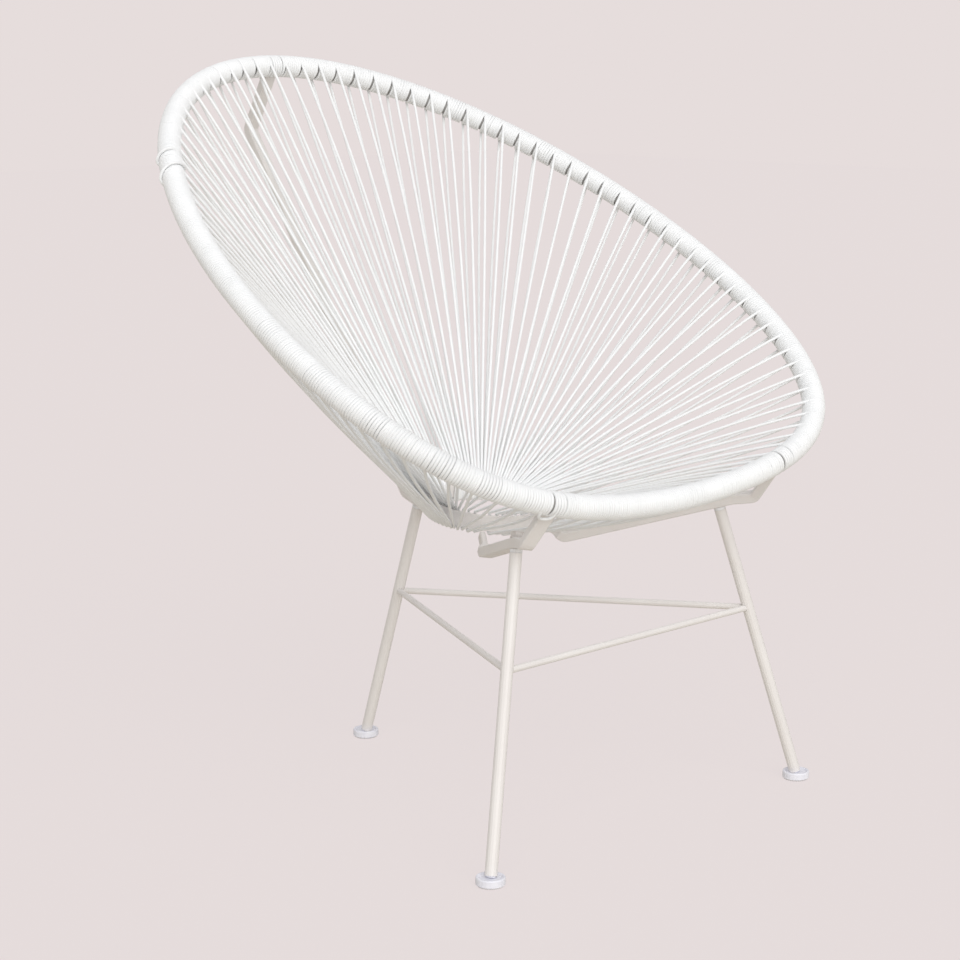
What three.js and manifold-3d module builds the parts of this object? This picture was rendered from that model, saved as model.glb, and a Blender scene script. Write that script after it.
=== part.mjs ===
import * as THREE from 'three';
import { mergeVertices } from 'three/addons/utils/BufferGeometryUtils.js';
import Module from 'manifold-3d';

// An acapulco chair: an egg-shaped steel hoop wound and laced with cord, on three bolted legs.
// Millimetres and degrees, +Z up, the sitter faces -Y. The origin is under the middle of the chair.

// Hoop: the two radii and the shares of their second and third waves give its egg shape.
const hoopLongRadius = 402.9;
const hoopWideRadius = 364.4;
const hoopLongWaveShares = [1, 0.345, 0.0509];
const hoopWideWaveShares = [1, 0.1943, 0.0376];
const hoopSideLift = 18.3;
const hoopTilt = 34.15;
const hoopCentreY = 11.7;
const hoopCentreZ = 566.8;
const hoopTubeDiameter = 21.4;
const hoopSteps = 48;
const hoopSides = 8;

// Cord: plastic, wound round the hoop and laced between the hoop and the centre ring.
const cordDiameter = 3.5;
const windingFit = 0.3;
const grooveFloor = 0.55;
const grooveHalfWidth = 3.8;
const sideNotches = 41;
const frontNotches = 14;
const cordLengths = 12;
const cordJoint = 2.5;
const cordFit = 0.5;
const rimFit = 0.9;
const rimPassAngles = [270, 210, 150, 90];

// Centre ring: a flat band on edge, its top edge centred here.
const ringRadius = 74;
const ringHeight = 19.5;
const ringThickness = 3;
const ringTilt = 7;
const ringCentreY = 82.5;
const ringCentreZ = 351.8;
const ringSides = 48;

// Brackets: flat bar, bent to run from the hoop past the leg top to the lower edge of the ring.
const barWidth = 16;
const barThickness = 12;
const barChamfer = 1.2;
const barBendRadius = 9;
const barTipWidth = 7;
const barTipLength = 18;
const barTipRoom = 3.2;
const rearRimRoom = 4.5;
const frontRimRoomOutside = 15.5;
const frontRimRoomInside = 3.5;
const bendSteps = 3;
const frontBracketHoopAngle = 136;
const frontBracketRingAngle = 130;
const frontTipTurn = 0.5;
const frontPadOuter = 46;
const frontPadInner = 18;
const frontPadSag = 4;
const frontTipRun = 24;
const frontTipRise = 16.4;
const rearPadOuter = 23;
const rearPadInner = 25;
const rearKinkBack = 47;
const rearKinkDrop = 83;

// Legs: round tube, front feet and rear foot placed on the floor, tops placed at their height.
const legDiameter = 14;
const legWall = 1.5;
const legSides = 16;
const frontFootX = 266.3;
const frontFootY = -191.6;
const frontTopX = 173.6;
const frontTopY = -137.3;
const frontTopZ = 345.8;
const rearFootY = 316.3;
const rearTopY = 211.3;
const rearTopZ = 322;

// Leg fastening: threaded insert, bolt and washer.
const seatGap = 0.3;
const insertCollar = 3.5;
const insertDepth = 20;
const threadDiameter = 8;
const threadClearance = 0.8;
const boltHeadAcross = 13;
const boltHeadHeight = 5.3;
const boltGrip = 14;
const washerDiameter = 16;
const washerThickness = 1.6;

// Rods between the legs.
const rodDiameter = 8;
const rodSides = 12;
const rodFrontZ = 222;
const rodRearZ = 208;

// Glides under the legs.
const glideDiameter = 33;
const glideHeight = 10;
const glideRim = 2.4;
const glideChamfer = 2;
const glideDish = 1.8;
const glideSole = 3.5;
const glidePlug = 18;
const glideSides = 24;

const wasm = await Module();
wasm.setup();

const chair = new THREE.Group();
const vec = (x, y, z) => new THREE.Vector3(x, y, z);
const radians = THREE.MathUtils.degToRad;
const tubeRadius = hoopTubeDiameter / 2;
const cordRadius = cordDiameter / 2;
const boreRadius = tubeRadius + windingFit;
const grooveRadius = boreRadius + grooveFloor;
const crestRadius = tubeRadius + cordDiameter;
const notchCount = 2 * sideNotches + frontNotches;

const materials = {
  paintedSteel: { color: 0xe9e4e0, roughness: 0.42, metalness: 0.0 },
  cord: { color: 0xf6faf9, roughness: 0.35, metalness: 0.0 },
  zincSteel: { color: 0xc9c7c2, roughness: 0.35, metalness: 0.8 },
  whitePlastic: { color: 0xe9e9f2, roughness: 0.5, metalness: 0.0 },
};

function addPiece(name, geometry, material) {
  const mesh = new THREE.Mesh(geometry, new THREE.MeshStandardMaterial(material));
  mesh.name = name;
  chair.add(mesh);
  return mesh;
}

// A skin through rings of equal point counts, capped at both ends or joined into a loop.
function loft(rings, isLoop) {
  const sides = rings[0].length;
  const positions = rings.flat().flatMap((p) => [p.x, p.y, p.z]);
  const triangles = [];
  const last = isLoop ? rings.length : rings.length - 1;
  for (let i = 0; i < last; i += 1) {
    const a = i * sides;
    const b = ((i + 1) % rings.length) * sides;
    for (let k = 0; k < sides; k += 1) {
      const next = (k + 1) % sides;
      triangles.push([a + k, a + next, b + next], [a + k, b + next, b + k]);
    }
  }
  if (!isLoop) {
    const end = last * sides;
    for (let k = 1; k < sides - 1; k += 1) {
      triangles.push([0, k + 1, k], [end, end + k, end + k + 1]);
    }
  }
  const at = (i) => vec(positions[3 * i], positions[3 * i + 1], positions[3 * i + 2]);
  const volume = triangles.reduce((sum, [a, b, c]) => sum + at(a).dot(at(b).cross(at(c))), 0);
  const facingOut = volume > 0 ? triangles : triangles.map(([a, b, c]) => [a, c, b]);
  const geometry = new THREE.BufferGeometry();
  geometry.setAttribute('position', new THREE.Float32BufferAttribute(positions, 3));
  geometry.setIndex(facingOut.flat());
  geometry.computeVertexNormals();
  return geometry;
}

// A turned shape from its radius and height outline, standing on +Z.
function turned(outline, sides) {
  const points = outline.map(([radius, height]) => new THREE.Vector2(radius, height));
  return new THREE.LatheGeometry(points, sides).rotateX(Math.PI / 2);
}

// Move a shape that stands on +Z to a place, with its height along the given direction.
function placed(geometry, place, direction) {
  const turn = new THREE.Quaternion().setFromUnitVectors(vec(0, 0, 1), direction);
  return geometry.applyQuaternion(turn).translate(place.x, place.y, place.z);
}

function toSolid(geometry) {
  const bare = geometry.clone();
  bare.deleteAttribute('normal');
  bare.deleteAttribute('uv');
  const merged = mergeVertices(bare, windingFit / 1000);
  const index = Array.from(merged.index.array);
  const kept = [];
  for (let i = 0; i < index.length; i += 3) {
    const [a, b, c] = index.slice(i, i + 3);
    if (a !== b && b !== c && c !== a) kept.push(a, b, c);
  }
  return new wasm.Manifold(new wasm.Mesh({
    numProp: 3,
    vertProperties: new Float32Array(merged.attributes.position.array),
    triVerts: new Uint32Array(kept),
  }));
}

function fromSolid(solid) {
  const mesh = solid.getMesh();
  const geometry = new THREE.BufferGeometry();
  geometry.setAttribute('position', new THREE.Float32BufferAttribute(mesh.vertProperties, 3));
  geometry.setIndex(Array.from(mesh.triVerts));
  geometry.computeVertexNormals();
  return geometry;
}

// Radius of a polygon whose flats touch a circle of the given radius.
const around = (radius, sides) => radius / Math.cos(Math.PI / sides);

// A round bar between two heights on an axis.
function rod(radius, sides, place, direction, from, to) {
  const outline = [[0, from], [radius, from], [radius, to], [0, to]];
  return placed(turned(outline, sides), place, direction);
}

// The hoop's centre line, measured from the middle of its top end.
const hoopUp = vec(0, -Math.sin(radians(hoopTilt)), Math.cos(radians(hoopTilt)));
const hoopBack = vec(0, Math.cos(radians(hoopTilt)), Math.sin(radians(hoopTilt)));

function hoopPoint(angle) {
  const long = hoopLongWaveShares.reduce((sum, share, i) => sum + share * Math.cos((i + 1) * angle), 0);
  const wide = hoopWideWaveShares.reduce((sum, share, i) => sum + share * Math.sin((i + 1) * angle), 0);
  return vec(0, hoopCentreY, hoopCentreZ)
    .addScaledVector(hoopBack, hoopLongRadius * long)
    .addScaledVector(vec(1, 0, 0), hoopWideRadius * wide)
    .addScaledVector(hoopUp, -hoopSideLift * Math.cos(2 * angle));
}

const fineSteps = 1440;
const hoopTrail = [0];
for (let i = 1; i <= fineSteps; i += 1) {
  const before = hoopPoint((i - 1) * 2 * Math.PI / fineSteps);
  hoopTrail.push(hoopTrail[i - 1] + before.distanceTo(hoopPoint(i * 2 * Math.PI / fineSteps)));
}
const hoopLength = hoopTrail[fineSteps];
const trailAt = (angle) => hoopTrail[Math.round(angle * fineSteps / (2 * Math.PI))];

function angleAt(trail) {
  const after = hoopTrail.findIndex((value) => value > trail);
  const i = after < 0 ? fineSteps : after;
  const share = (trail - hoopTrail[i - 1]) / (hoopTrail[i] - hoopTrail[i - 1] || 1);
  return (i - 1 + share) * 2 * Math.PI / fineSteps;
}

// Stations on the hoop carry its centre and the corner directions of its section.
const stationStep = hoopLength / hoopSteps;
const stations = [];
for (let i = 0; i < hoopSteps; i += 1) {
  const angle = angleAt(i * stationStep);
  const nudge = Math.PI / fineSteps;
  const along = hoopPoint(angle + nudge).sub(hoopPoint(angle - nudge)).normalize();
  const up = hoopUp.clone().addScaledVector(along, -hoopUp.dot(along)).normalize();
  const outward = up.clone().cross(along).negate();
  const corners = [];
  for (let k = 0; k < hoopSides; k += 1) {
    const turn = (k + 0.5) * 2 * Math.PI / hoopSides;
    corners.push(outward.clone().multiplyScalar(Math.cos(turn)).addScaledVector(up, Math.sin(turn)));
  }
  stations.push({ centre: hoopPoint(angle), along, up, outward, corners });
}

// The section of the hoop anywhere between two stations.
function hoopSection(trail) {
  const place = ((trail / stationStep) % hoopSteps + hoopSteps) % hoopSteps;
  const before = stations[Math.floor(place)];
  const after = stations[(Math.floor(place) + 1) % hoopSteps];
  const share = place - Math.floor(place);
  const between = (key) => before[key].clone().lerp(after[key], share);
  return {
    centre: between('centre'),
    along: after.centre.clone().sub(before.centre).normalize(),
    up: between('up').normalize(),
    outward: between('outward').normalize(),
    corners: before.corners.map((corner, k) => corner.clone().lerp(after.corners[k], share)),
  };
}

function hoopRing(trail, radius) {
  const section = hoopSection(trail);
  return section.corners.map((corner) => section.centre.clone().addScaledVector(corner, radius));
}

const wholeHoop = (radius) => loft(stations.map((_, i) => hoopRing(i * stationStep, radius)), true);
addPiece('hoop_tube', wholeHoop(tubeRadius), materials.paintedSteel);
const hoopCutter = toSolid(wholeHoop(tubeRadius + seatGap));

// The winding is broken at the rear bracket and at the two front brackets.
const rightBracketTrail = trailAt(radians(frontBracketHoopAngle));
const rearRoom = barWidth / 2 + rearRimRoom;
const outsideRoom = barWidth / 2 + frontRimRoomOutside;
const insideRoom = barWidth / 2 + frontRimRoomInside;
const stretches = [
  { name: 'right', from: rearRoom, to: rightBracketTrail - outsideRoom, notches: sideNotches },
  { name: 'front', from: rightBracketTrail + insideRoom, notches: frontNotches },
  { name: 'left', from: hoopLength - rightBracketTrail + outsideRoom, notches: sideNotches },
];
stretches[1].to = hoopLength - stretches[1].from;
stretches[2].to = hoopLength - rearRoom;
for (const stretch of stretches) {
  const pitch = (stretch.to - stretch.from) / (stretch.notches - 1);
  stretch.trails = Array.from({ length: stretch.notches }, (_, i) => stretch.from + i * pitch);
}
const notchTrails = stretches.flatMap((stretch) => stretch.trails);

function rimWinding(trails) {
  const start = trails[0];
  const end = trails[trails.length - 1];
  const outer = [];
  trails.forEach((trail, i) => {
    if (i > 0) outer.push(hoopRing(trail - grooveHalfWidth, crestRadius));
    outer.push(hoopRing(trail, grooveRadius));
    if (i < trails.length - 1) outer.push(hoopRing(trail + grooveHalfWidth, crestRadius));
  });
  const bore = [hoopRing(start, boreRadius)];
  for (let i = Math.floor(start / stationStep) + 1; i * stationStep < end; i += 1) {
    bore.push(hoopRing(i * stationStep, boreRadius));
  }
  bore.push(hoopRing(end, boreRadius));
  return loft([...outer, ...bore.reverse()], true);
}

for (const stretch of stretches) {
  addPiece(`rim_winding_${stretch.name}`, rimWinding(stretch.trails), materials.cord);
}

// The centre ring and places on it: an angle, a distance from its axis and a height over its top edge.
const ringUp = vec(0, -Math.sin(radians(ringTilt)), Math.cos(radians(ringTilt)));
const ringBack = vec(0, Math.cos(radians(ringTilt)), Math.sin(radians(ringTilt)));
const ringCentre = vec(0, ringCentreY, ringCentreZ);
const ringInner = ringRadius - ringThickness;
const ringMiddle = ringRadius - ringThickness / 2;

function ringOutward(angle) {
  return ringBack.clone().multiplyScalar(Math.cos(angle)).addScaledVector(vec(1, 0, 0), Math.sin(angle));
}

function ringPlace(angle, distance, height) {
  return ringCentre.clone().addScaledVector(ringOutward(angle), distance).addScaledVector(ringUp, height);
}

const ringOutline = [
  [ringInner, -ringHeight],
  [ringRadius, -ringHeight],
  [ringRadius, 0],
  [ringInner, 0],
  [ringInner, -ringHeight],
];
addPiece('centre_ring', placed(turned(ringOutline, ringSides), ringCentre, ringUp), materials.paintedSteel);

// Slots on the ring, one for each notch, leaving the three bracket tips free.
const passRadius = ringInner - cordFit - cordRadius;
const tipHalfAngle = (barTipWidth / 2 + barTipRoom + cordRadius) / passRadius;
const ringArcs = [
  { from: 0, to: radians(frontBracketRingAngle), slots: 0 },
  { from: radians(frontBracketRingAngle), to: 2 * Math.PI - radians(frontBracketRingAngle), slots: 0 },
  { from: 2 * Math.PI - radians(frontBracketRingAngle), to: 2 * Math.PI, slots: 0 },
];
const openArc = (arc) => arc.to - arc.from - 2 * tipHalfAngle;
const ringOpen = ringArcs.reduce((sum, arc) => sum + openArc(arc), 0);
const slotStep = ringOpen / (notchCount - ringArcs.length);
ringArcs[0].slots = Math.round(openArc(ringArcs[0]) / slotStep) + 1;
ringArcs[2].slots = ringArcs[0].slots;
ringArcs[1].slots = notchCount - 2 * ringArcs[0].slots;
const slotAngles = ringArcs.flatMap((arc) => Array.from({ length: arc.slots }, (_, i) => (
  arc.from + tipHalfAngle + i * openArc(arc) / (arc.slots - 1)
)));

// One loop of the lacing: under and round the rim in its notch, over the ring's top edge, down
// inside it, and out under its lower edge.
const rimPassRadius = (grooveRadius + rimFit + cordRadius) / Math.cos(Math.PI / 6);
const rimLeaveRadius = crestRadius + rimFit + cordRadius;

function rimPass(notch) {
  const section = hoopSection(notchTrails[notch % notchCount]);
  const goal = ringPlace(slotAngles[notch % notchCount], passRadius, -ringHeight / 2);
  const inward = goal.sub(section.centre);
  inward.addScaledVector(section.along, -inward.dot(section.along)).normalize();
  const top = inward.clone().cross(section.along);
  if (top.dot(hoopUp) < 0) top.negate();
  return rimPassAngles.map((angle, i) => {
    const radius = i === 0 || i === rimPassAngles.length - 1 ? rimLeaveRadius : rimPassRadius;
    const point = section.centre.clone()
      .addScaledVector(inward, radius * Math.cos(radians(angle)))
      .addScaledVector(top, radius * Math.sin(radians(angle)));
    return { point, side: section.along };
  });
}

// Height of a strand over the ring's edge plane where it turns, so that it clears the edge's corner.
function slotPasses(notch, topRimPoint, nextRimPoint) {
  const angle = slotAngles[notch];
  const turnHeight = (rimPoint, corner, edge, side) => {
    const reach = rimPoint.clone().sub(ringPlace(angle, passRadius, edge));
    const across = reach.clone().addScaledVector(ringUp, -reach.dot(ringUp)).length();
    const slope = reach.dot(ringUp) / across;
    const clear = (cordRadius + cordFit) * Math.hypot(1, slope);
    return edge + side * clear - slope * (corner - passRadius);
  };
  const side = ringUp.clone().cross(ringOutward(angle)).negate();
  return [
    { point: ringPlace(angle, passRadius, turnHeight(topRimPoint, ringInner, 0, 1)), side },
    { point: ringPlace(angle, passRadius, turnHeight(nextRimPoint, ringRadius, -ringHeight, -1)), side },
  ];
}

function lacingPath(first, count) {
  const path = [];
  for (let notch = first; notch < first + count; notch += 1) {
    const pass = rimPass(notch);
    const nextPass = rimPass(notch + 1);
    path.push(...pass, ...slotPasses(notch, pass[3].point, nextPass[0].point));
  }
  const last = path[path.length - 1];
  const goal = rimPass(first + count)[0];
  const reach = last.point.distanceTo(goal.point);
  path.push({ point: last.point.clone().lerp(goal.point, (reach - cordJoint) / reach), side: goal.side });
  return path;
}

// A three-sided cord whose edge points to the inside of each loop, mitred at every turn.
function cordRings(path) {
  return path.map(({ point, side: across }, i) => {
    const before = point.clone().sub(path[Math.max(i - 1, 0)].point).normalize();
    const after = path[Math.min(i + 1, path.length - 1)].point.clone().sub(point).normalize();
    const direction = before.clone().add(after).normalize();
    const side = across.clone().addScaledVector(direction, -across.dot(direction)).normalize();
    const inside = side.clone().cross(direction);
    const isEnd = i === 0 || i === path.length - 1;
    const mitre = isEnd ? 1 : 1 / Math.max(direction.dot(after), 0.5);
    return [0, 120, 240].map((turn) => point.clone()
      .addScaledVector(inside, cordRadius * mitre * Math.cos(radians(turn)))
      .addScaledVector(side, cordRadius * Math.sin(radians(turn))));
  });
}

const leastGaps = [];

// Least distance between the surfaces of neighbouring loops, on points along every edge and face.
function leastGap(rings) {
  const pointsBetween = 40;
  const perLoop = rimPassAngles.length + 2;
  const surface = (from, to) => {
    const points = [];
    for (let i = from; i < Math.min(to, rings.length - 1); i += 1) {
      for (let step = 0; step < pointsBetween; step += 1) {
        const corners = rings[i].map((corner, k) => corner.clone().lerp(rings[i + 1][k], step / pointsBetween));
        const faces = corners.map((corner, k) => corner.clone().lerp(corners[(k + 1) % 3], 0.5));
        points.push(...corners, ...faces);
      }
    }
    return points;
  };
  let least = Infinity;
  for (let loop = 0; (loop + 2) * perLoop < rings.length; loop += 1) {
    const one = surface(loop * perLoop, (loop + 1) * perLoop - 1);
    const other = surface((loop + 1) * perLoop, (loop + 2) * perLoop - 1);
    for (const a of one) {
      for (const b of other) least = Math.min(least, a.distanceToSquared(b));
    }
  }
  return Math.sqrt(least);
}

for (let length = 0; length < cordLengths; length += 1) {
  const first = Math.round(length * notchCount / cordLengths);
  const next = Math.round((length + 1) * notchCount / cordLengths);
  const rings = cordRings(lacingPath(first, next - first));
  leastGaps.push(leastGap(rings));
  addPiece(`seat_cord_${String(length + 1).padStart(2, '0')}`, loft(rings, false), materials.cord);
}
console.log('Least gap of a seat cord to itself, mm:', Math.min(...leastGaps).toFixed(2));

// Legs, from their foot on the floor to their top.
const legPlans = [
  { name: 'front_left', side: -1, foot: vec(-frontFootX, frontFootY, 0), top: vec(-frontTopX, frontTopY, frontTopZ) },
  { name: 'front_right', side: 1, foot: vec(frontFootX, frontFootY, 0), top: vec(frontTopX, frontTopY, frontTopZ) },
  { name: 'rear', side: 0, foot: vec(0, rearFootY, 0), top: vec(0, rearTopY, rearTopZ) },
];
const legRadius = legDiameter / 2;
const legBore = legRadius - legWall;
const legStart = glideSole + legRadius;
const threadRadius = threadDiameter / 2;
const holeRadius = around(threadRadius + threadClearance / 2, rodSides);

for (const leg of legPlans) {
  leg.axis = leg.top.clone().sub(leg.foot).normalize();
  leg.length = leg.top.distanceTo(leg.foot);
  leg.seat = leg.top.clone().addScaledVector(leg.axis, 2 * seatGap + insertCollar + barThickness / 2);
}

function legTube(leg) {
  const outline = [
    [legBore, legStart],
    [legRadius, legStart],
    [legRadius, leg.length],
    [legBore, leg.length],
    [legBore, legStart],
  ];
  return placed(turned(outline, legSides), leg.foot, leg.axis);
}

function legInsert(leg) {
  const stem = legBore * Math.cos(Math.PI / legSides) - seatGap;
  const bore = around(threadRadius + seatGap, rodSides);
  const outline = [
    [bore, -insertDepth],
    [stem, -insertDepth],
    [stem, seatGap],
    [legRadius, seatGap],
    [legRadius, seatGap + insertCollar],
    [bore, seatGap + insertCollar],
    [bore, -insertDepth],
  ];
  return placed(turned(outline, legSides), leg.top, leg.axis);
}

function legWasher(leg) {
  const base = barThickness / 2 + seatGap;
  const outline = [
    [holeRadius, base],
    [washerDiameter / 2, base],
    [washerDiameter / 2, base + washerThickness],
    [holeRadius, base + washerThickness],
    [holeRadius, base],
  ];
  return placed(turned(outline, legSides), leg.seat, leg.axis);
}

function legBolt(leg) {
  const headBase = barThickness / 2 + 2 * seatGap + washerThickness;
  const headCorner = around(boltHeadAcross / 2, 6);
  const tip = -barThickness / 2 - seatGap - boltGrip;
  const head = rod(headCorner, 6, leg.seat, leg.axis, headBase, headBase + boltHeadHeight);
  const shank = rod(threadRadius, rodSides, leg.seat, leg.axis, tip, headBase + boltHeadHeight / 2);
  return fromSolid(toSolid(head).add(toSolid(shank)));
}

// A disc with a raised rim, a socket for the tilted leg and a plug that fills the leg's bore.
function legGlide(leg) {
  const radius = glideDiameter / 2;
  const centre = leg.foot.clone().addScaledVector(leg.axis, glideHeight / 2);
  centre.z = 0;
  const outline = [
    [0, 0],
    [radius - glideChamfer, 0],
    [radius, glideChamfer],
    [radius, glideHeight - glideRim / 2],
    [radius - glideRim / 4, glideHeight],
    [radius - glideRim, glideHeight],
    [radius - glideRim - glideDish, glideHeight - glideDish],
    [0, glideHeight - glideDish],
  ];
  const disc = toSolid(placed(turned(outline, glideSides), centre, vec(0, 0, 1)));
  const socketRadius = around(legRadius + seatGap, legSides);
  const plugRadius = legBore * Math.cos(Math.PI / legSides) - seatGap;
  const socket = rod(socketRadius, legSides, leg.foot, leg.axis, legStart - seatGap, legStart + glideDiameter);
  const plug = rod(plugRadius, legSides, leg.foot, leg.axis, legStart - glideSole / 2, legStart + glidePlug);
  return fromSolid(disc.subtract(toSolid(socket)).add(toSolid(plug)));
}

// Brackets: a chamfered flat bar swept along its bends.
function bentPath(corners) {
  const path = [corners[0]];
  for (let i = 1; i < corners.length - 1; i += 1) {
    const into = corners[i - 1].clone().sub(corners[i]).normalize();
    const out = corners[i + 1].clone().sub(corners[i]).normalize();
    const half = into.angleTo(out) / 2;
    const setback = Math.min(barBendRadius / Math.tan(half), barBendRadius * 2);
    const bend = new THREE.QuadraticBezierCurve3(
      corners[i].clone().addScaledVector(into, setback),
      corners[i],
      corners[i].clone().addScaledVector(out, setback),
    );
    path.push(...bend.getPoints(setback > barChamfer ? bendSteps : 1));
  }
  path.push(corners[corners.length - 1]);
  return path;
}

function barSection(width) {
  const w = width / 2;
  const t = barThickness / 2;
  const c = barChamfer;
  return [[w, t - c], [w - c, t], [c - w, t], [-w, t - c], [-w, c - t], [c - w, -t], [w - c, -t], [w, c - t]];
}

function sweptBar(path, across) {
  const end = path[path.length - 1];
  const tipDirection = end.clone().sub(path[path.length - 2]).normalize();
  const tipStart = end.clone().addScaledVector(tipDirection, -barTipLength);
  const neckStart = tipStart.clone().addScaledVector(tipDirection, -(barWidth - barTipWidth) / 2);
  const line = [...path.slice(0, -1), neckStart, tipStart, end];
  const rings = line.map((point, i) => {
    const before = point.clone().sub(line[Math.max(i - 1, 0)]).normalize();
    const after = line[Math.min(i + 1, line.length - 1)].clone().sub(point).normalize();
    const direction = before.clone().add(after).normalize();
    const side = across.clone().addScaledVector(direction, -across.dot(direction)).normalize();
    const face = side.clone().cross(direction);
    const isEnd = i === 0 || i === line.length - 1;
    const mitre = isEnd ? 1 : 1 / Math.max(direction.dot(after), 0.5);
    const width = i >= line.length - 2 ? barTipWidth : barWidth;
    return barSection(width).map(([w, t]) => point.clone()
      .addScaledVector(side, w)
      .addScaledVector(face, t * mitre));
  });
  return loft(rings, false);
}

function bracket(leg, corners, across) {
  const hole = rod(holeRadius, rodSides, leg.seat, leg.axis, -barThickness, barThickness);
  const bar = toSolid(sweptBar(bentPath(corners), across));
  return fromSolid(bar.subtract(toSolid(hole)).subtract(hoopCutter).subtract(underRing()));
}

// The space of the ring and of all inside it, grown by the weld gap.
function underRing() {
  const reach = around(ringRadius + seatGap, ringSides);
  const block = rod(reach, ringSides, ringCentre, ringUp, -ringHeight - seatGap, ringRadius);
  return toSolid(block);
}

function frontCorners(leg) {
  const tipAngle = leg.side * radians(frontBracketRingAngle + frontTipTurn);
  const tip = ringPlace(tipAngle, ringInner, -ringHeight - seatGap - barThickness / 2);
  const heading = tip.clone().sub(leg.seat).setZ(0).normalize();
  const pad = heading.clone().addScaledVector(leg.axis, -heading.dot(leg.axis)).normalize();
  const hoopAngle = leg.side * radians(frontBracketHoopAngle);
  const innerCorner = tip.clone().addScaledVector(heading, -frontTipRun).add(vec(0, 0, -frontTipRise));
  leg.across = leg.axis.clone().cross(pad);
  return [
    hoopPoint(hoopAngle),
    leg.seat.clone().addScaledVector(pad, -frontPadOuter).add(vec(0, 0, -frontPadSag)),
    leg.seat.clone().addScaledVector(pad, -frontPadInner),
    leg.seat.clone().addScaledVector(pad, frontPadInner),
    innerCorner,
    tip,
  ];
}

function rearCorners(leg) {
  const tip = ringPlace(0, ringMiddle, ringThickness - ringHeight);
  const pad = vec(0, 1, 0).addScaledVector(leg.axis, -leg.axis.y).normalize();
  const kink = hoopPoint(0).add(vec(0, rearKinkBack, -rearKinkDrop));
  leg.across = vec(1, 0, 0);
  return [
    hoopPoint(0),
    kink,
    leg.seat.clone().addScaledVector(pad, rearPadOuter),
    leg.seat.clone().addScaledVector(pad, -rearPadInner),
    tip,
  ];
}

for (const leg of legPlans) {
  const corners = leg.side === 0 ? rearCorners(leg) : frontCorners(leg);
  addPiece(`bracket_${leg.name}`, bracket(leg, corners, leg.across), materials.paintedSteel);
  addPiece(`leg_${leg.name}`, legTube(leg), materials.paintedSteel);
  addPiece(`leg_insert_${leg.name}`, legInsert(leg), materials.whitePlastic);
  addPiece(`washer_${leg.name}`, legWasher(leg), materials.zincSteel);
  addPiece(`bolt_${leg.name}`, legBolt(leg), materials.zincSteel);
  addPiece(`glide_${leg.name}`, legGlide(leg), materials.whitePlastic);
}

// Rods that tie the legs, cut to the legs' round and mitred to each other.
function legAt(leg, height) {
  return leg.foot.clone().addScaledVector(leg.axis, height / leg.axis.z);
}

function legRod(one, other) {
  const heightOf = (leg) => (leg.side === 0 ? rodRearZ : rodFrontZ);
  const start = legAt(one, heightOf(one));
  const end = legAt(other, heightOf(other));
  const direction = end.clone().sub(start).normalize();
  let solid = toSolid(rod(rodDiameter / 2, rodSides, start, direction, 0, start.distanceTo(end)));
  for (const leg of [one, other]) {
    const grown = around(legRadius + seatGap, legSides);
    solid = solid.subtract(toSolid(rod(grown, legSides, leg.foot, leg.axis, 0, leg.length)));
    solid = solid.subtract(mitreBlock(leg, leg === one ? other : one));
  }
  return fromSolid(solid);
}

// A block that fills the far side of the plane halfway between the two rods at a leg.
function mitreBlock(leg, towards) {
  const third = legPlans.find((each) => each !== leg && each !== towards);
  const place = legAt(leg, leg.side === 0 ? rodRearZ : rodFrontZ);
  const toOne = towards.foot.clone().sub(leg.foot).setZ(0).normalize();
  const toOther = third.foot.clone().sub(leg.foot).setZ(0).normalize();
  const away = toOther.clone().sub(toOne).normalize();
  const size = 3 * legDiameter;
  const block = new THREE.BoxGeometry(size, size, size).translate(0, 0, (size - seatGap) / 2);
  return toSolid(placed(block, place, away));
}

const [frontLeft, frontRight, rear] = legPlans;
addPiece('rod_front', legRod(frontLeft, frontRight), materials.paintedSteel);
addPiece('rod_left', legRod(frontLeft, rear), materials.paintedSteel);
addPiece('rod_right', legRod(frontRight, rear), materials.paintedSteel);

// Stand the chair over the origin.
const box = new THREE.Box3().setFromObject(chair, true);
chair.position.set(0, -(box.min.y + box.max.y) / 2, 0);
console.log('Moved along Y, mm:', chair.position.y.toFixed(2));

export default chair;
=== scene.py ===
import math

import bpy
import numpy as np
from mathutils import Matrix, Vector


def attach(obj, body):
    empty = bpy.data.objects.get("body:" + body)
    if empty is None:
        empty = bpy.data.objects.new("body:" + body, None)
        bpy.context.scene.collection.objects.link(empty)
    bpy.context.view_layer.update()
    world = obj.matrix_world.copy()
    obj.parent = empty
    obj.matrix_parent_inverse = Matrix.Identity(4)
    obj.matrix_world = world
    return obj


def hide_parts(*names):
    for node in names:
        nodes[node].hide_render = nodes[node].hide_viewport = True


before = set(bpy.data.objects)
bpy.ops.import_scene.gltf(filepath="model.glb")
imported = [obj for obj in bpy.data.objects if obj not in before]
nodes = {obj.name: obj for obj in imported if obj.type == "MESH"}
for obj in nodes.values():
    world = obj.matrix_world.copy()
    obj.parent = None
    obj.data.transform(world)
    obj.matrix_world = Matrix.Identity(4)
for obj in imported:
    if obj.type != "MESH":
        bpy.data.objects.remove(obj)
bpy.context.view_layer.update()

# Camera: it stands in front of the chair, to the sitter's right, a little above the seat,
# and looks through a long lens, as the photograph was taken.
look_azimuth = math.radians(-44.27)
look_elevation = math.radians(10.56)
look_at = Vector((-0.04366, -0.11142, 0.39646))
look_distance = 2.73628
away = Vector((
    math.sin(look_azimuth) * math.cos(look_elevation),
    -math.cos(look_azimuth) * math.cos(look_elevation),
    math.sin(look_elevation),
))
camera = bpy.data.objects.new("camera", bpy.data.cameras.new("camera"))
bpy.context.scene.collection.objects.link(camera)
camera.location = look_at + away * look_distance
camera.rotation_mode = "QUATERNION"
camera.rotation_quaternion = (-away).to_track_quat("-Z", "Y")
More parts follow.
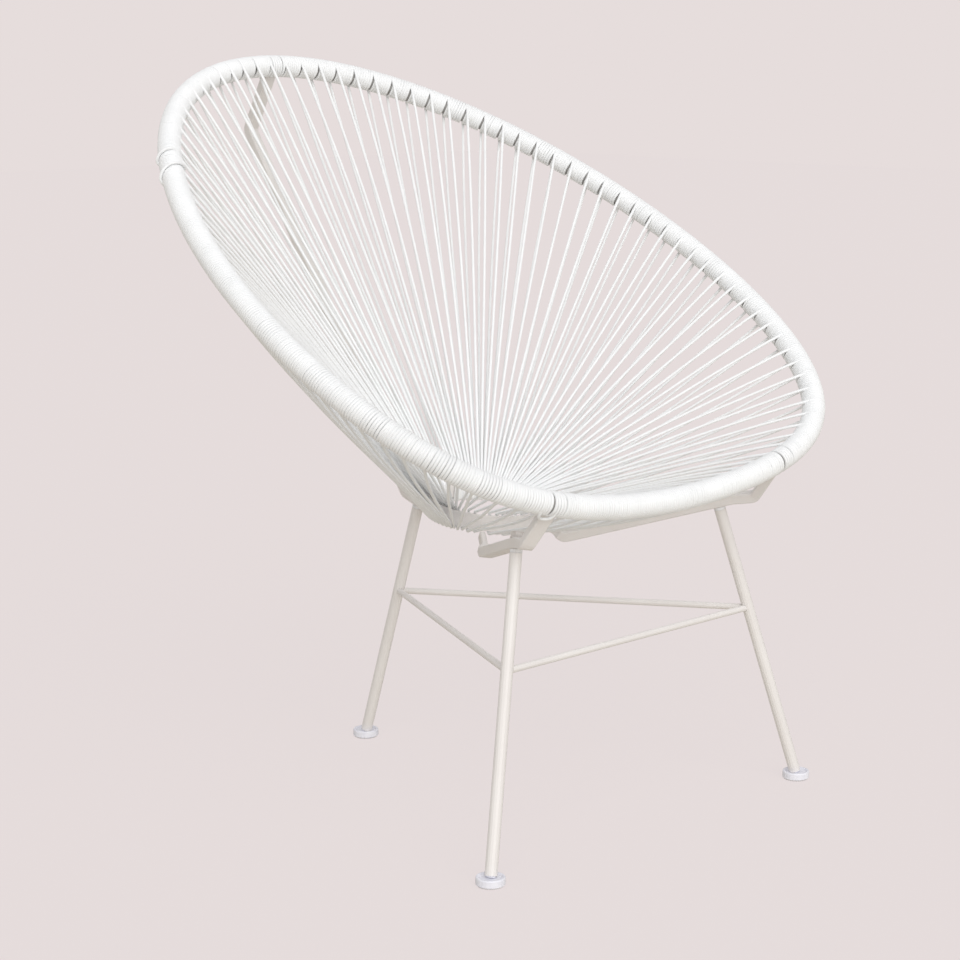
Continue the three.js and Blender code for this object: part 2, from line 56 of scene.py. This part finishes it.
camera.data.lens = 86.25
camera.data.sensor_width = 36
camera.data.shift_x = -0.0067
camera.data.shift_y = -0.0093
camera.data.clip_end = 100
bpy.context.scene.camera = camera

# Hoop: one closed loop of round steel tube, bent to an egg shape, welded shut and leaned back.
# The cord is wound over it, so the tube shows only in the slits between the turns. Its dark grey is
# painted shade for those slits.
hoop_long = 0.4029
hoop_wide = 0.3644
hoop_long_waves = (1, 0.345, 0.0509)
hoop_wide_waves = (1, 0.1943, 0.0376)
hoop_side_lift = 0.0183
hoop_lean = math.radians(34.15)
hoop_middle = np.array((0, -0.14229, 0.5668))
hoop_tube_radius = 0.0107
hoop_samples = 2881
hoop_rings = 240
hoop_sides = 32
hoop_up = np.array((0, -math.sin(hoop_lean), math.cos(hoop_lean)))
hoop_back = np.array((0, math.cos(hoop_lean), math.sin(hoop_lean)))
sideways = np.array((-1.0, 0, 0))


def hoop_points(angles):
    """Points on the hoop's centre line, from the rear over the front left to the front right."""
    long = sum(w * np.cos((i + 1) * angles) for i, w in enumerate(hoop_long_waves))
    wide = sum(w * np.sin((i + 1) * angles) for i, w in enumerate(hoop_wide_waves))
    return (
        hoop_middle
        + np.outer(hoop_long * long, hoop_back)
        + np.outer(hoop_wide * wide, sideways)
        - np.outer(hoop_side_lift * np.cos(2 * angles), hoop_up)
    )


hoop_angles = np.linspace(0, 2 * math.pi, hoop_samples)
hoop_steps = np.linalg.norm(np.diff(hoop_points(hoop_angles), axis=0), axis=1)
hoop_trails = np.concatenate(([0], np.cumsum(hoop_steps)))
hoop_length = hoop_trails[-1]


def unit(vectors):
    """The same directions at a length of one."""
    return vectors / np.linalg.norm(vectors, axis=-1, keepdims=True)


def hoop_frames(trails):
    """The tube's centre, direction, outer side and upper side at distances along the hoop."""
    angles = np.interp(np.asarray(trails) % hoop_length, hoop_trails, hoop_angles)
    nudge = 0.001
    along = unit(hoop_points(angles + nudge) - hoop_points(angles - nudge))
    up = unit(hoop_up - along * (along @ hoop_up)[:, None])
    return hoop_points(angles), along, np.cross(along, up), up


sharp_edge = math.radians(38)


def new_piece(name, points, faces, finish):
    """A mesh object that rides on the chair's one body, smooth but for its sharp edges."""
    mesh = bpy.data.meshes.new(name)
    mesh.from_pydata([tuple(p) for p in points], [], faces)
    mesh.polygons.foreach_set("use_smooth", [True] * len(faces))
    mesh.set_sharp_from_angle(angle=sharp_edge)
    mesh.materials.append(finish)
    piece = bpy.data.objects.new(name, mesh)
    bpy.context.scene.collection.objects.link(piece)
    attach(piece, "root")
    return piece


def swept_round(path, radius, sides, closed=False):
    """Points and faces of a round tube along a path, turned as little as it can be on the way."""
    path = np.asarray(path)
    if closed:
        direction = unit(np.roll(path, -1, axis=0) - np.roll(path, 1, axis=0))
    else:
        direction = unit(np.gradient(path, axis=0))
    across = np.empty_like(path)
    side = np.cross(direction[0], hoop_up)
    for i, d in enumerate(direction):
        side = side - d * (side @ d)
        side = side / math.sqrt(side @ side)
        across[i] = side
    over = np.cross(direction, across)
    turns = np.arange(sides) * 2 * math.pi / sides
    ring = across[:, None] * np.cos(turns)[:, None] + over[:, None] * np.sin(turns)[:, None]
    points = (path[:, None] + np.reshape(radius, (-1, 1, 1)) * ring).reshape(-1, 3)
    count = len(path)
    last = count if closed else count - 1
    faces = []
    for i in range(last):
        a, b = i * sides, (i + 1) % count * sides
        for k in range(sides):
            n = (k + 1) % sides
            faces.append((a + k, a + n, b + n, b + k))
    if not closed:
        faces.append(tuple(range(sides))[::-1])
        faces.append(tuple((count - 1) * sides + k for k in range(sides)))
    return points, faces


def new_finish(name, colour, roughness):
    """A material with its shader, and a noise on the object's own coordinates to work from."""
    finish = bpy.data.materials.new(name)
    finish.use_nodes = True
    tree = finish.node_tree
    shader = tree.nodes["Principled BSDF"]
    shader.inputs["Base Color"].default_value = (*colour, 1)
    shader.inputs["Roughness"].default_value = roughness
    place = tree.nodes.new("ShaderNodeTexCoord")
    return finish, tree, shader, place.outputs["Object"]


def add_noise(tree, place, scale, detail):
    """An uneven amount from place to place, for a finish's colours, gloss or relief."""
    noise = tree.nodes.new("ShaderNodeTexNoise")
    noise.inputs["Scale"].default_value = scale
    noise.inputs["Detail"].default_value = detail
    tree.links.new(place, noise.inputs["Vector"])
    return noise.outputs["Fac"]


def add_colours(tree, amount, low, high, start=0.3, end=0.7):
    """A blend of two colours by an amount, from its start to its end."""
    ramp = tree.nodes.new("ShaderNodeValToRGB")
    ramp.color_ramp.elements[0].position = start
    ramp.color_ramp.elements[1].position = end
    ramp.color_ramp.elements[0].color = (*low, 1)
    ramp.color_ramp.elements[1].color = (*high, 1)
    tree.links.new(amount, ramp.inputs["Fac"])
    return ramp.outputs["Color"]


def add_bump(tree, shader, height, strength, distance):
    """Fine relief on a finish."""
    bump = tree.nodes.new("ShaderNodeBump")
    bump.inputs["Strength"].default_value = strength
    bump.inputs["Distance"].default_value = distance
    tree.links.new(height, bump.inputs["Height"])
    tree.links.new(bump.outputs["Normal"], shader.inputs["Normal"])


hoop_line = hoop_frames(np.linspace(0, hoop_length, hoop_rings + 1)[:-1])[0]
points, faces = swept_round(hoop_line, hoop_tube_radius, hoop_sides, closed=True)
# The tube's dark grey, with a little random tone, is painted shade that darkens the slits between the
# turns.
slit_shade_steel, tree, shader, place = new_finish("steel with painted slit shade", (0.36, 0.35, 0.34), 0.55)
tree.links.new(
    add_colours(tree, add_noise(tree, place, 45, 4), (0.31, 0.30, 0.29), (0.40, 0.39, 0.38)),
    shader.inputs["Base Color"],
)
add_bump(tree, shader, add_noise(tree, place, 800, 2), 0.1, 0.0003)
hoop = new_piece("hoop", points, faces, slit_shade_steel)
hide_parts("hoop_tube")

# Centre ring: a flat steel band rolled on edge and welded to a circle. The cord passes over
# its upper edge, down its inside and out under its lower edge.
ring_inner = 0.071
ring_outer = 0.074
ring_height = 0.0195
ring_lean = math.radians(7)
ring_centre = np.array((0, -0.07149, 0.3518))
ring_edge = 0.0005
ring_sides = 144
ring_up = np.array((0, -math.sin(ring_lean), math.cos(ring_lean)))
ring_back = np.array((0, math.cos(ring_lean), math.sin(ring_lean)))


def ring_outward(angle):
    """The direction out of the ring's middle at an angle from the rear."""
    return ring_back * math.cos(angle) + sideways * math.sin(angle)


def turned(outline, centre, axis, sides):
    """Points and faces of a closed outline, distance and height pairs, turned about an axis."""
    axis = unit(np.asarray(axis, float))
    beside_axis = (0.31, 0.95, 0.02)
    across = unit(np.cross(axis, beside_axis))
    over = np.cross(axis, across)
    count = len(outline)
    points = []
    for i in range(sides):
        turn = i * 2 * math.pi / sides
        out = across * math.cos(turn) + over * math.sin(turn)
        points += [centre + out * r + axis * h for r, h in outline]
    faces = []
    for i in range(sides):
        a, b = i * count, (i + 1) % sides * count
        for k in range(count):
            n = (k + 1) % count
            faces.append((a + k, b + k, b + n, a + n))
    return points, faces


def add_roughness(tree, shader, amount, low, high):
    """Roughness between two values by an amount."""
    spread = tree.nodes.new("ShaderNodeMapRange")
    spread.inputs["To Min"].default_value = low
    spread.inputs["To Max"].default_value = high
    tree.links.new(amount, spread.inputs["Value"])
    tree.links.new(spread.outputs["Result"], shader.inputs["Roughness"])


powder_coat, tree, shader, place = new_finish("white powder coat", (0.83, 0.80, 0.78), 0.38)
patches = add_noise(tree, place, 14, 3)
tree.links.new(
    add_colours(tree, patches, (0.80, 0.765, 0.745), (0.84, 0.81, 0.79)),
    shader.inputs["Base Color"],
)
add_roughness(tree, shader, add_noise(tree, place, 60, 2), 0.32, 0.46)
add_bump(tree, shader, add_noise(tree, place, 900, 2), 0.12, 0.0004)

points, faces = turned(
    [
        (ring_inner, -ring_height + ring_edge),
        (ring_inner + ring_edge, -ring_height),
        (ring_outer - ring_edge, -ring_height),
        (ring_outer, -ring_height + ring_edge),
        (ring_outer, -ring_edge),
        (ring_outer - ring_edge, 0),
        (ring_inner + ring_edge, 0),
        (ring_inner, -ring_edge),
    ],
    ring_centre, ring_up, ring_sides,
)
ring = new_piece("ring_band", points, faces, powder_coat)
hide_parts("centre_ring")

# Brackets: three flat steel bars, bent, welded to the hoop at the top and to the ring at the
# foot, and drilled for the leg's bolt between them. They have the ring's powder coat.
for name in ("front_left", "front_right", "rear"):
    nodes["bracket_" + name].data.materials[0] = powder_coat

# Legs: three round steel tubes, splayed out to the floor and bolted under the brackets. They
# are powder coated like them.
for name in ("front_left", "front_right", "rear"):
    nodes["leg_" + name].data.materials[0] = powder_coat

# Rods: three thin round steel rods that tie the legs together in a triangle, welded to them
# and powder coated with them.
for name in ("rod_front", "rod_left", "rod_right"):
    nodes[name].data.materials[0] = powder_coat

# Bolts and washers: a zinc plated steel bolt and washer on each bracket, painted over with the
# frame. The bolt goes down through the bracket and is screwed into the leg's insert.
painted_bolt, tree, shader, place = new_finish("painted bolt", (0.70, 0.66, 0.63), 0.34)
tree.links.new(
    add_colours(tree, add_noise(tree, place, 240, 3), (0.62, 0.58, 0.55), (0.72, 0.68, 0.65)),
    shader.inputs["Base Color"],
)
add_bump(tree, shader, add_noise(tree, place, 1400, 2), 0.15, 0.0003)
for name in ("front_left", "front_right", "rear"):
    nodes["bolt_" + name].data.materials[0] = painted_bolt
    nodes["washer_" + name].data.materials[0] = painted_bolt

# Leg inserts: white moulded plastic, threaded inside for the bolt and pressed into the top of
# each leg, so that only its collar shows between leg and bracket.
moulded_white, tree, shader, place = new_finish("moulded white", (0.85, 0.85, 0.86), 0.45)
tree.links.new(
    add_colours(tree, add_noise(tree, place, 90, 2), (0.83, 0.83, 0.85), (0.87, 0.87, 0.88)),
    shader.inputs["Base Color"],
)
add_bump(tree, shader, add_noise(tree, place, 1600, 1), 0.1, 0.0002)
for name in ("front_left", "front_right", "rear"):
    nodes["leg_insert_" + name].data.materials[0] = moulded_white

# Glides: a white moulded plastic disc under each leg, flat on the floor, with a raised rim. Its
# plug is pressed into the foot of the tube.
glide_white, tree, shader, place = new_finish("glide white", (0.83, 0.83, 0.90), 0.5)
tree.links.new(
    add_colours(tree, add_noise(tree, place, 120, 3), (0.80, 0.80, 0.88), (0.86, 0.86, 0.92)),
    shader.inputs["Base Color"],
)
add_bump(tree, shader, add_noise(tree, place, 1100, 2), 0.15, 0.0003)
for name in ("front_left", "front_right", "rear"):
    nodes["glide_" + name].data.materials[0] = glide_white

# Cord: round white plastic cord. Each length comes up from the ring under the hoop, winds
# round it to the next notch, leaves over the top, and hairpins round the ring's band.
cord_radius = 0.00175
wound_cord_radius = 0.00187
cord_sides = 8
cord_step = 0.0028
wound_radius = hoop_tube_radius + wound_cord_radius - 0.0003
side_notches = 41
front_notches = 14
turns_between = 7
wide_slit = 0.0032
narrow_slit = 0.0012
swing = 0.22
bar_half_width = 0.008
bar_side_room = 0.002
cover_pitch = 0.0036
cord_lengths = 12
crowded_step = 0.001
upper_bow = 0.004
lower_sag = 0.006
random_seed = 11
random = np.random.default_rng(random_seed)

cord_white, tree, shader, place = new_finish("white cord", (0.90, 0.908, 0.915), 0.4)
tree.links.new(
    add_colours(tree, add_noise(tree, place, 35, 4), (0.88, 0.888, 0.895), (0.92, 0.928, 0.935)),
    shader.inputs["Base Color"],
)
add_roughness(tree, shader, add_noise(tree, place, 130, 2), 0.34, 0.5)
add_bump(tree, shader, add_noise(tree, place, 700, 2), 0.08, 0.0003)

# Notches: where a pair of strands leaves the hoop. They are evenly spaced along each side and
# the front, with room left beside the three brackets.
bracket_angle = math.radians(136)
left_bar = np.interp(bracket_angle, hoop_angles, hoop_trails)
bars = {"front_left": left_bar, "front_right": hoop_length - left_bar, "rear": hoop_length}
rear_room = 0.0125
outside_room = 0.0205
inside_room = 0.0115
notch_trails = np.concatenate((
    np.linspace(rear_room, left_bar - outside_room, side_notches),
    np.linspace(left_bar + inside_room, hoop_length - left_bar - inside_room, front_notches),
    np.linspace(hoop_length - left_bar + outside_room, hoop_length - rear_room, side_notches),
))
notches = len(notch_trails)
at_bar = {side_notches - 1: "front_left", side_notches + front_notches - 1: "front_right"}
at_bar[notches - 1] = "rear"
after_bar = {(k + 1) % notches for k in at_bar}
free = np.array([k not in at_bar and k not in after_bar for k in range(notches)])
notch_jitter = 0.0011
notch_trails = notch_trails + free * random.uniform(-notch_jitter, notch_jitter, notches)

# Slots: where the hairpins hang on the ring, close together from the rear on and spread apart
# towards the front brackets, with a gap on either side of each bracket's foot.
tip_half_angle = 0.1229
front_tip = math.radians(130)
spreading = (1.15, 1.4, 1.8, 2.2, 2.4)
slot_gaps = np.concatenate((np.ones(side_notches - 1 - len(spreading)), spreading))
side_slots = np.concatenate(([0], np.cumsum(slot_gaps))) / slot_gaps.sum()
side_slots = tip_half_angle + side_slots * (front_tip - 2 * tip_half_angle)
slot_angles = np.concatenate((
    side_slots,
    np.linspace(front_tip + tip_half_angle, 2 * math.pi - front_tip - tip_half_angle, front_notches),
    2 * math.pi - side_slots[::-1],
))


arc_step = 14
ring_room = 0.0002


def arc(centre, across, over, radius, start, end):
    """Points on an arc between two angles in degrees."""
    turns = np.radians(np.linspace(start, end, max(2, int(abs(end - start) / arc_step) + 1)))
    return centre + radius * (np.outer(np.cos(turns), across) + np.outer(np.sin(turns), over))


def round_the_ring(notch, upper, lower):
    """The cord's line from the upper strand over, inside and under the band to the lower one."""
    slot = slot_angles[notch]
    hug = cord_radius + ring_room + crowded_step * (notch % 2)
    middle = (ring_inner + ring_outer) / 2
    base = ring_centre + ring_outward(slot) * middle
    line = []
    for end, height, over_top in ((upper, 0, True), (lower, -ring_height, False)):
        foot = base + ring_up * height
        reach = end - foot
        across = unit(reach - ring_up * (reach @ ring_up))
        half = (ring_outer - ring_inner) / 2 / (across @ ring_outward(slot))
        corner = -half if over_top else half
        run, rise = reach @ across - corner, reach @ ring_up
        bend = math.degrees(math.acos(hug / math.hypot(run, rise)))
        slope = math.degrees(math.atan2(rise, run))
        inner = foot - across * half
        if over_top:
            line.append(arc(inner, across, ring_up, hug, slope + bend, 180))
        else:
            line.append(arc(inner, across, ring_up, hug, 180, 270))
            outer = foot + across * half
            line.append(arc(outer, across, ring_up, hug, 270, 360 + slope - bend))
    return np.concatenate(line)


def on_winding(trails, turns, radii):
    """Points beside the hoop: how far along it, at which turn round it and how far out."""
    centre, _, out, up = hoop_frames(trails)
    turns = np.asarray(turns)[:, None]
    return centre + np.asarray(radii)[:, None] * (out * np.cos(turns) + up * np.sin(turns))


def rim_contact(trail, aim, side):
    """Where a straight strand to the aim leaves the winding, and how far it slants along it."""
    centre, along, out, up = (v[0] for v in hoop_frames([trail]))
    reach = aim - centre
    distance = math.hypot(reach @ out, reach @ up)
    turn = math.atan2(reach @ up, reach @ out) % (2 * math.pi)
    turn -= side * math.acos(wound_radius / distance)
    if side < 0:
        turn -= 2 * math.pi
    return turn, wound_radius * side * (reach @ along) / distance


def strand_ends(notch, trail_top, trail_low):
    """Both contacts of a notch's strands on the winding, and the line between them at the ring."""
    slot = slot_angles[notch]
    base = ring_centre + ring_outward(slot) * (ring_inner + ring_outer) / 2
    aims = [base + ring_up * cord_radius, base - ring_up * (ring_height + cord_radius)]
    for _ in range(2):
        top = rim_contact(trail_top, aims[0], 1)
        low = rim_contact(trail_low, aims[1], -1)
        upper = on_winding([trail_top], [top[0]], [wound_radius])[0]
        lower = on_winding([trail_low], [low[0]], [wound_radius])[0]
        hairpin = round_the_ring(notch, upper, lower)
        aims = [hairpin[0], hairpin[-1]]
    return top, low, hairpin


pitch_jitter = 0.00012
press_depth = 0.00016
press_stretch = 2.1


def winding(start, end, turns, slant_in, slant_out, first_trail, last_trail):
    """The cord's turns on the hoop from one notch to the next, slanted where strands join it."""
    rate = (last_trail - first_trail) / (end - start)
    count = int((end - start) * wound_radius / cord_step)
    at = np.linspace(start, end, count)
    trails = first_trail + rate * (at - start)
    trails -= swing * (slant_in - rate) * np.exp(-(at - start) / swing)
    trails += swing * (slant_out - rate) * np.exp((at - end) / swing)
    wobble = random.normal(0, pitch_jitter, turns + 4)
    trails += np.interp((at - start) / (2 * math.pi), np.arange(len(wobble)), wobble)
    press = random.uniform(0, press_depth, turns * 3 + 8)
    radii = wound_radius + np.interp((at - start) / press_stretch, np.arange(len(press)), press)
    return trails, at, radii


weld_reach = 0.03
bar_clear_turn = math.radians(47)
loops_over_bar = 4
cover_step = 0.0012
approach_turn = 0.4
loop_laps = np.radians((30, 60, 90, 120, 150))


def bar_turn(name):
    """The side of the hoop on which a bracket's bar is welded, as a turn on the winding."""
    centre, _, out, up = (v[0] for v in hoop_frames([bars[name]]))
    corners = np.array([v.co for v in nodes["bracket_" + name].data.vertices])
    near = corners[np.linalg.norm(corners - centre, axis=1) < weld_reach].mean(axis=0) - centre
    return math.atan2(near @ up, near @ out)


def over_bracket(name, low, top, first_trail, last_trail):
    """The cord's way past a welded bar: turns up to it, loops to and fro over it, turns after."""
    bar = bars[name]
    middle = bar_turn(name)
    beside = bar_half_width + bar_side_room
    loop_pitch = 2 * beside / (loops_over_bar + 1)
    reach = loop_pitch / 2
    before = round((bar - beside - first_trail) / cover_pitch)
    after = round((last_trail - bar - beside) / cover_pitch)
    base = middle + 2 * math.pi * before
    line = [(first_trail, low)]
    if before:
        line.append((bar - beside, low + 2 * math.pi * before - approach_turn))
    for i in range(loops_over_bar):
        trail = bar + (i - (loops_over_bar - 1) / 2) * loop_pitch
        ends = [base + bar_clear_turn, base + 2 * math.pi - bar_clear_turn]
        sign = 1 if i % 2 == 0 else -1
        line += [(trail, t) for t in ends[::sign]]
        for lap in loop_laps:
            line.append((
                trail + reach * (1 - math.cos(lap)),
                ends[::sign][1] + sign * reach * math.sin(lap) / wound_radius,
            ))
    line.append((bar + beside, base + bar_clear_turn))
    line.append((last_trail, top + 2 * math.pi * (before + after)))
    line = np.array(line)
    steps = np.hypot(np.diff(line[:, 0]), np.diff(line[:, 1]) * wound_radius)
    run = np.concatenate(([0], np.cumsum(steps)))
    at = np.linspace(0, run[-1], int(run[-1] / cover_step))
    trails = np.interp(at, run, line[:, 0])
    turns = np.interp(at, run, line[:, 1])
    return trails, turns, np.full(len(at), wound_radius)


slit_ends = (0, 13, 18, notches)
half_slits = np.interp(range(notches), slit_ends, np.repeat((wide_slit, narrow_slit), 2)) / 2
top_trails = notch_trails - half_slits * [k not in after_bar for k in range(notches)]
low_trails = notch_trails + half_slits * [k not in at_bar for k in range(notches)]
strands = [strand_ends(k, top_trails[k], low_trails[k]) for k in range(notches)]


strand_points = 12


def free_strand(rim_end, ring_end, bow):
    """A strand bows out of straight where it leaves the hoop, because the cord is springy."""
    share = np.linspace(0, 1, strand_points + 2)[1:-1, None]
    # The factor of 27 / 4 brings the largest swell, a third of the way along, to one.
    swell = share * (1 - share) ** 2 * 27 / 4
    return rim_end + share * (ring_end - rim_end) + bow * swell * hoop_up


def one_loop(notch):
    """From the top of the hoop at a notch, round the ring, and wound on to the next notch."""
    following = (notch + 1) % notches
    (top, _), (low, slant_in), hairpin = strands[notch]
    next_top, slant_out = strands[following][0]
    first, last = low_trails[notch], top_trails[following]
    if notch == notches - 1:
        last += hoop_length
    if notch in at_bar:
        trails, turns, radii = over_bracket(at_bar[notch], low, next_top, first, last)
    else:
        end = next_top + 2 * math.pi * turns_between
        trails, turns, radii = winding(low, end, turns_between, slant_in, slant_out, first, last)
    wound = on_winding(trails, turns, radii)
    upper = on_winding([top_trails[notch]], [top], [wound_radius])[0]
    down = free_strand(upper, hairpin[0], upper_bow)
    back = free_strand(wound[0], hairpin[-1], -lower_sag)[::-1]
    free_part = len(down) + len(hairpin) + len(back)
    widths = np.concatenate((np.full(free_part, cord_radius), np.full(len(wound), wound_cord_radius)))
    return np.concatenate((down, hairpin, back, wound)), widths


short_line_points = 26
tuck_share = 0.16
tuck_sink = 0.0007
tuck_lift = 0.0012


def tucked_end(notch, start, end, lean):
    """A short arc of cord laid over the winding, both of its ends pushed in between the turns."""
    share = np.linspace(0, 1, short_line_points)
    turns = np.radians(start + (end - start) * share)
    over = np.minimum(1, np.minimum(share, 1 - share) / tuck_share)
    height = 2 * wound_cord_radius - tuck_sink + tuck_lift * np.sin(math.pi * share)
    trail = np.interp(notch, range(notches), notch_trails)
    return on_winding(trail + lean * (share - 0.5), turns, wound_radius + height * over)


loop_offset = 0.0115
loop_half_width = 0.0095
loop_drop = 0.0055
loop_high = 75
loop_low = 30


def loose_loop(name):
    """A slack bight of the cord that hangs over the outer face of a bracket's bar."""
    share = np.linspace(0, 1, short_line_points)
    swell = np.sin(math.pi * share)
    trails = bars[name] - loop_offset - loop_half_width * np.cos(math.pi * share)
    turns = bar_turn(name) + np.radians(loop_high + (loop_low - loop_high) * swell)
    return on_winding(trails, turns, wound_radius + loop_drop * swell)


# Two ends of cord lie over the winding at the left of the hoop, each at its notch, between two
# turns in degrees, leaning along the hoop. They belong to cord 11, and a slack bight to cord 7.
short_lines = {
    11: [tucked_end(13.75, -35, 100, -0.009), tucked_end(14.95, -50, 170, -0.024)],
    7: [loose_loop("front_left")],
}

# Each length starts a little below the winding's surface, so that its first strand comes out
# from between the turns.
sunk = np.linspace(1, 0, 6)
sunk_turn = 0.7
sunk_depth = 0.0024

for length in range(cord_lengths):
    number = cord_lengths - length
    first = round(length * notches / cord_lengths)
    last = round((length + 1) * notches / cord_lengths)
    loops = [one_loop(k) for k in range(first, last)]
    start = on_winding(
        np.full(len(sunk), top_trails[first]),
        strands[first][0][0] - sunk_turn * sunk,
        wound_radius - sunk_depth * sunk,
    )
    path = np.concatenate([start] + [line for line, _ in loops])
    widths = np.concatenate([np.full(len(sunk), cord_radius)] + [width for _, width in loops])
    points, faces = swept_round(path, widths, cord_sides)
    for line in short_lines.get(number, ()):
        more_points, more_faces = swept_round(line, cord_radius, cord_sides)
        faces += [tuple(k + len(points) for k in face) for face in more_faces]
        points = np.concatenate((points, more_points))
    cord = new_piece(f"laced_cord_{number:02d}", points, faces, cord_white)
    covered = {
        "left": first < side_notches,
        "front": first < side_notches + front_notches and last > side_notches,
        "right": last > side_notches + front_notches,
    }
    wound_nodes = [f"rim_winding_{name}" for name, is_on in covered.items() if is_on]
    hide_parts(f"seat_cord_{number:02d}", *wound_nodes)

# Studio: a plain pale floor that runs out of sight, a pale backdrop, and soft light from above,
# behind the camera and a little to its right.
floor_size = 12
floor_drop = 0.0002
floor_glow_share = 0.85
backdrop_colour = (0.791, 0.723, 0.716)
floor_glow = (0.822, 0.749, 0.754)
floor_material, tree, shader, place = new_finish("pale floor", (0.68, 0.63, 0.56), 0.9)
shader.inputs["Specular IOR Level"].default_value = 0
glow = tree.nodes.new("ShaderNodeEmission")
glow.inputs["Color"].default_value = (*floor_glow, 1)
path_node = tree.nodes.new("ShaderNodeLightPath")
share = tree.nodes.new("ShaderNodeMath")
share.operation = "MULTIPLY"
share.inputs[1].default_value = floor_glow_share
tree.links.new(path_node.outputs["Is Camera Ray"], share.inputs[0])
mix = tree.nodes.new("ShaderNodeMixShader")
tree.links.new(share.outputs[0], mix.inputs["Fac"])
tree.links.new(shader.outputs["BSDF"], mix.inputs[1])
tree.links.new(glow.outputs["Emission"], mix.inputs[2])
tree.links.new(mix.outputs["Shader"], tree.nodes["Material Output"].inputs["Surface"])
floor_mesh = bpy.data.meshes.new("floor")
floor_mesh.from_pydata(
    [(x * floor_size, y * floor_size, -floor_drop) for x, y in ((-1, -1), (1, -1), (1, 1), (-1, 1))],
    [], [(0, 1, 2, 3)],
)
floor_mesh.materials.append(floor_material)
floor = bpy.data.objects.new("floor", floor_mesh)
bpy.context.scene.collection.objects.link(floor)

world = bpy.data.worlds.new("studio")
world.use_nodes = True
bpy.context.scene.world = world
tree = world.node_tree
sky = tree.nodes["Background"]
sky.inputs["Color"].default_value = (1, 1, 1, 1)
sky.inputs["Strength"].default_value = 0.55
seen = tree.nodes.new("ShaderNodeBackground")
seen.inputs["Color"].default_value = (*backdrop_colour, 1)
seen.inputs["Strength"].default_value = 1
path_node = tree.nodes.new("ShaderNodeLightPath")
either = tree.nodes.new("ShaderNodeMath")
either.operation = "MAXIMUM"
tree.links.new(path_node.outputs["Is Camera Ray"], either.inputs[0])
tree.links.new(path_node.outputs["Is Glossy Ray"], either.inputs[1])
any_of = tree.nodes.new("ShaderNodeMath")
any_of.operation = "MAXIMUM"
tree.links.new(either.outputs[0], any_of.inputs[0])
tree.links.new(path_node.outputs["Is Transmission Ray"], any_of.inputs[1])
mix = tree.nodes.new("ShaderNodeMixShader")
tree.links.new(any_of.outputs[0], mix.inputs["Fac"])
tree.links.new(sky.outputs["Background"], mix.inputs[1])
tree.links.new(seen.outputs["Background"], mix.inputs[2])
tree.links.new(mix.outputs["Shader"], tree.nodes["World Output"].inputs["Surface"])

lamp = bpy.data.lights.new("soft key", "SUN")
lamp.energy = 1.75
lamp.angle = math.radians(65)
lamp_object = bpy.data.objects.new("soft key", lamp)
bpy.context.scene.collection.objects.link(lamp_object)
to_lamp = Vector((-0.48, -0.85, 0.62))
lamp_object.rotation_mode = "QUATERNION"
lamp_object.rotation_quaternion = to_lamp.to_track_quat("Z", "Y")

bpy.context.scene.view_settings.view_transform = "Standard"
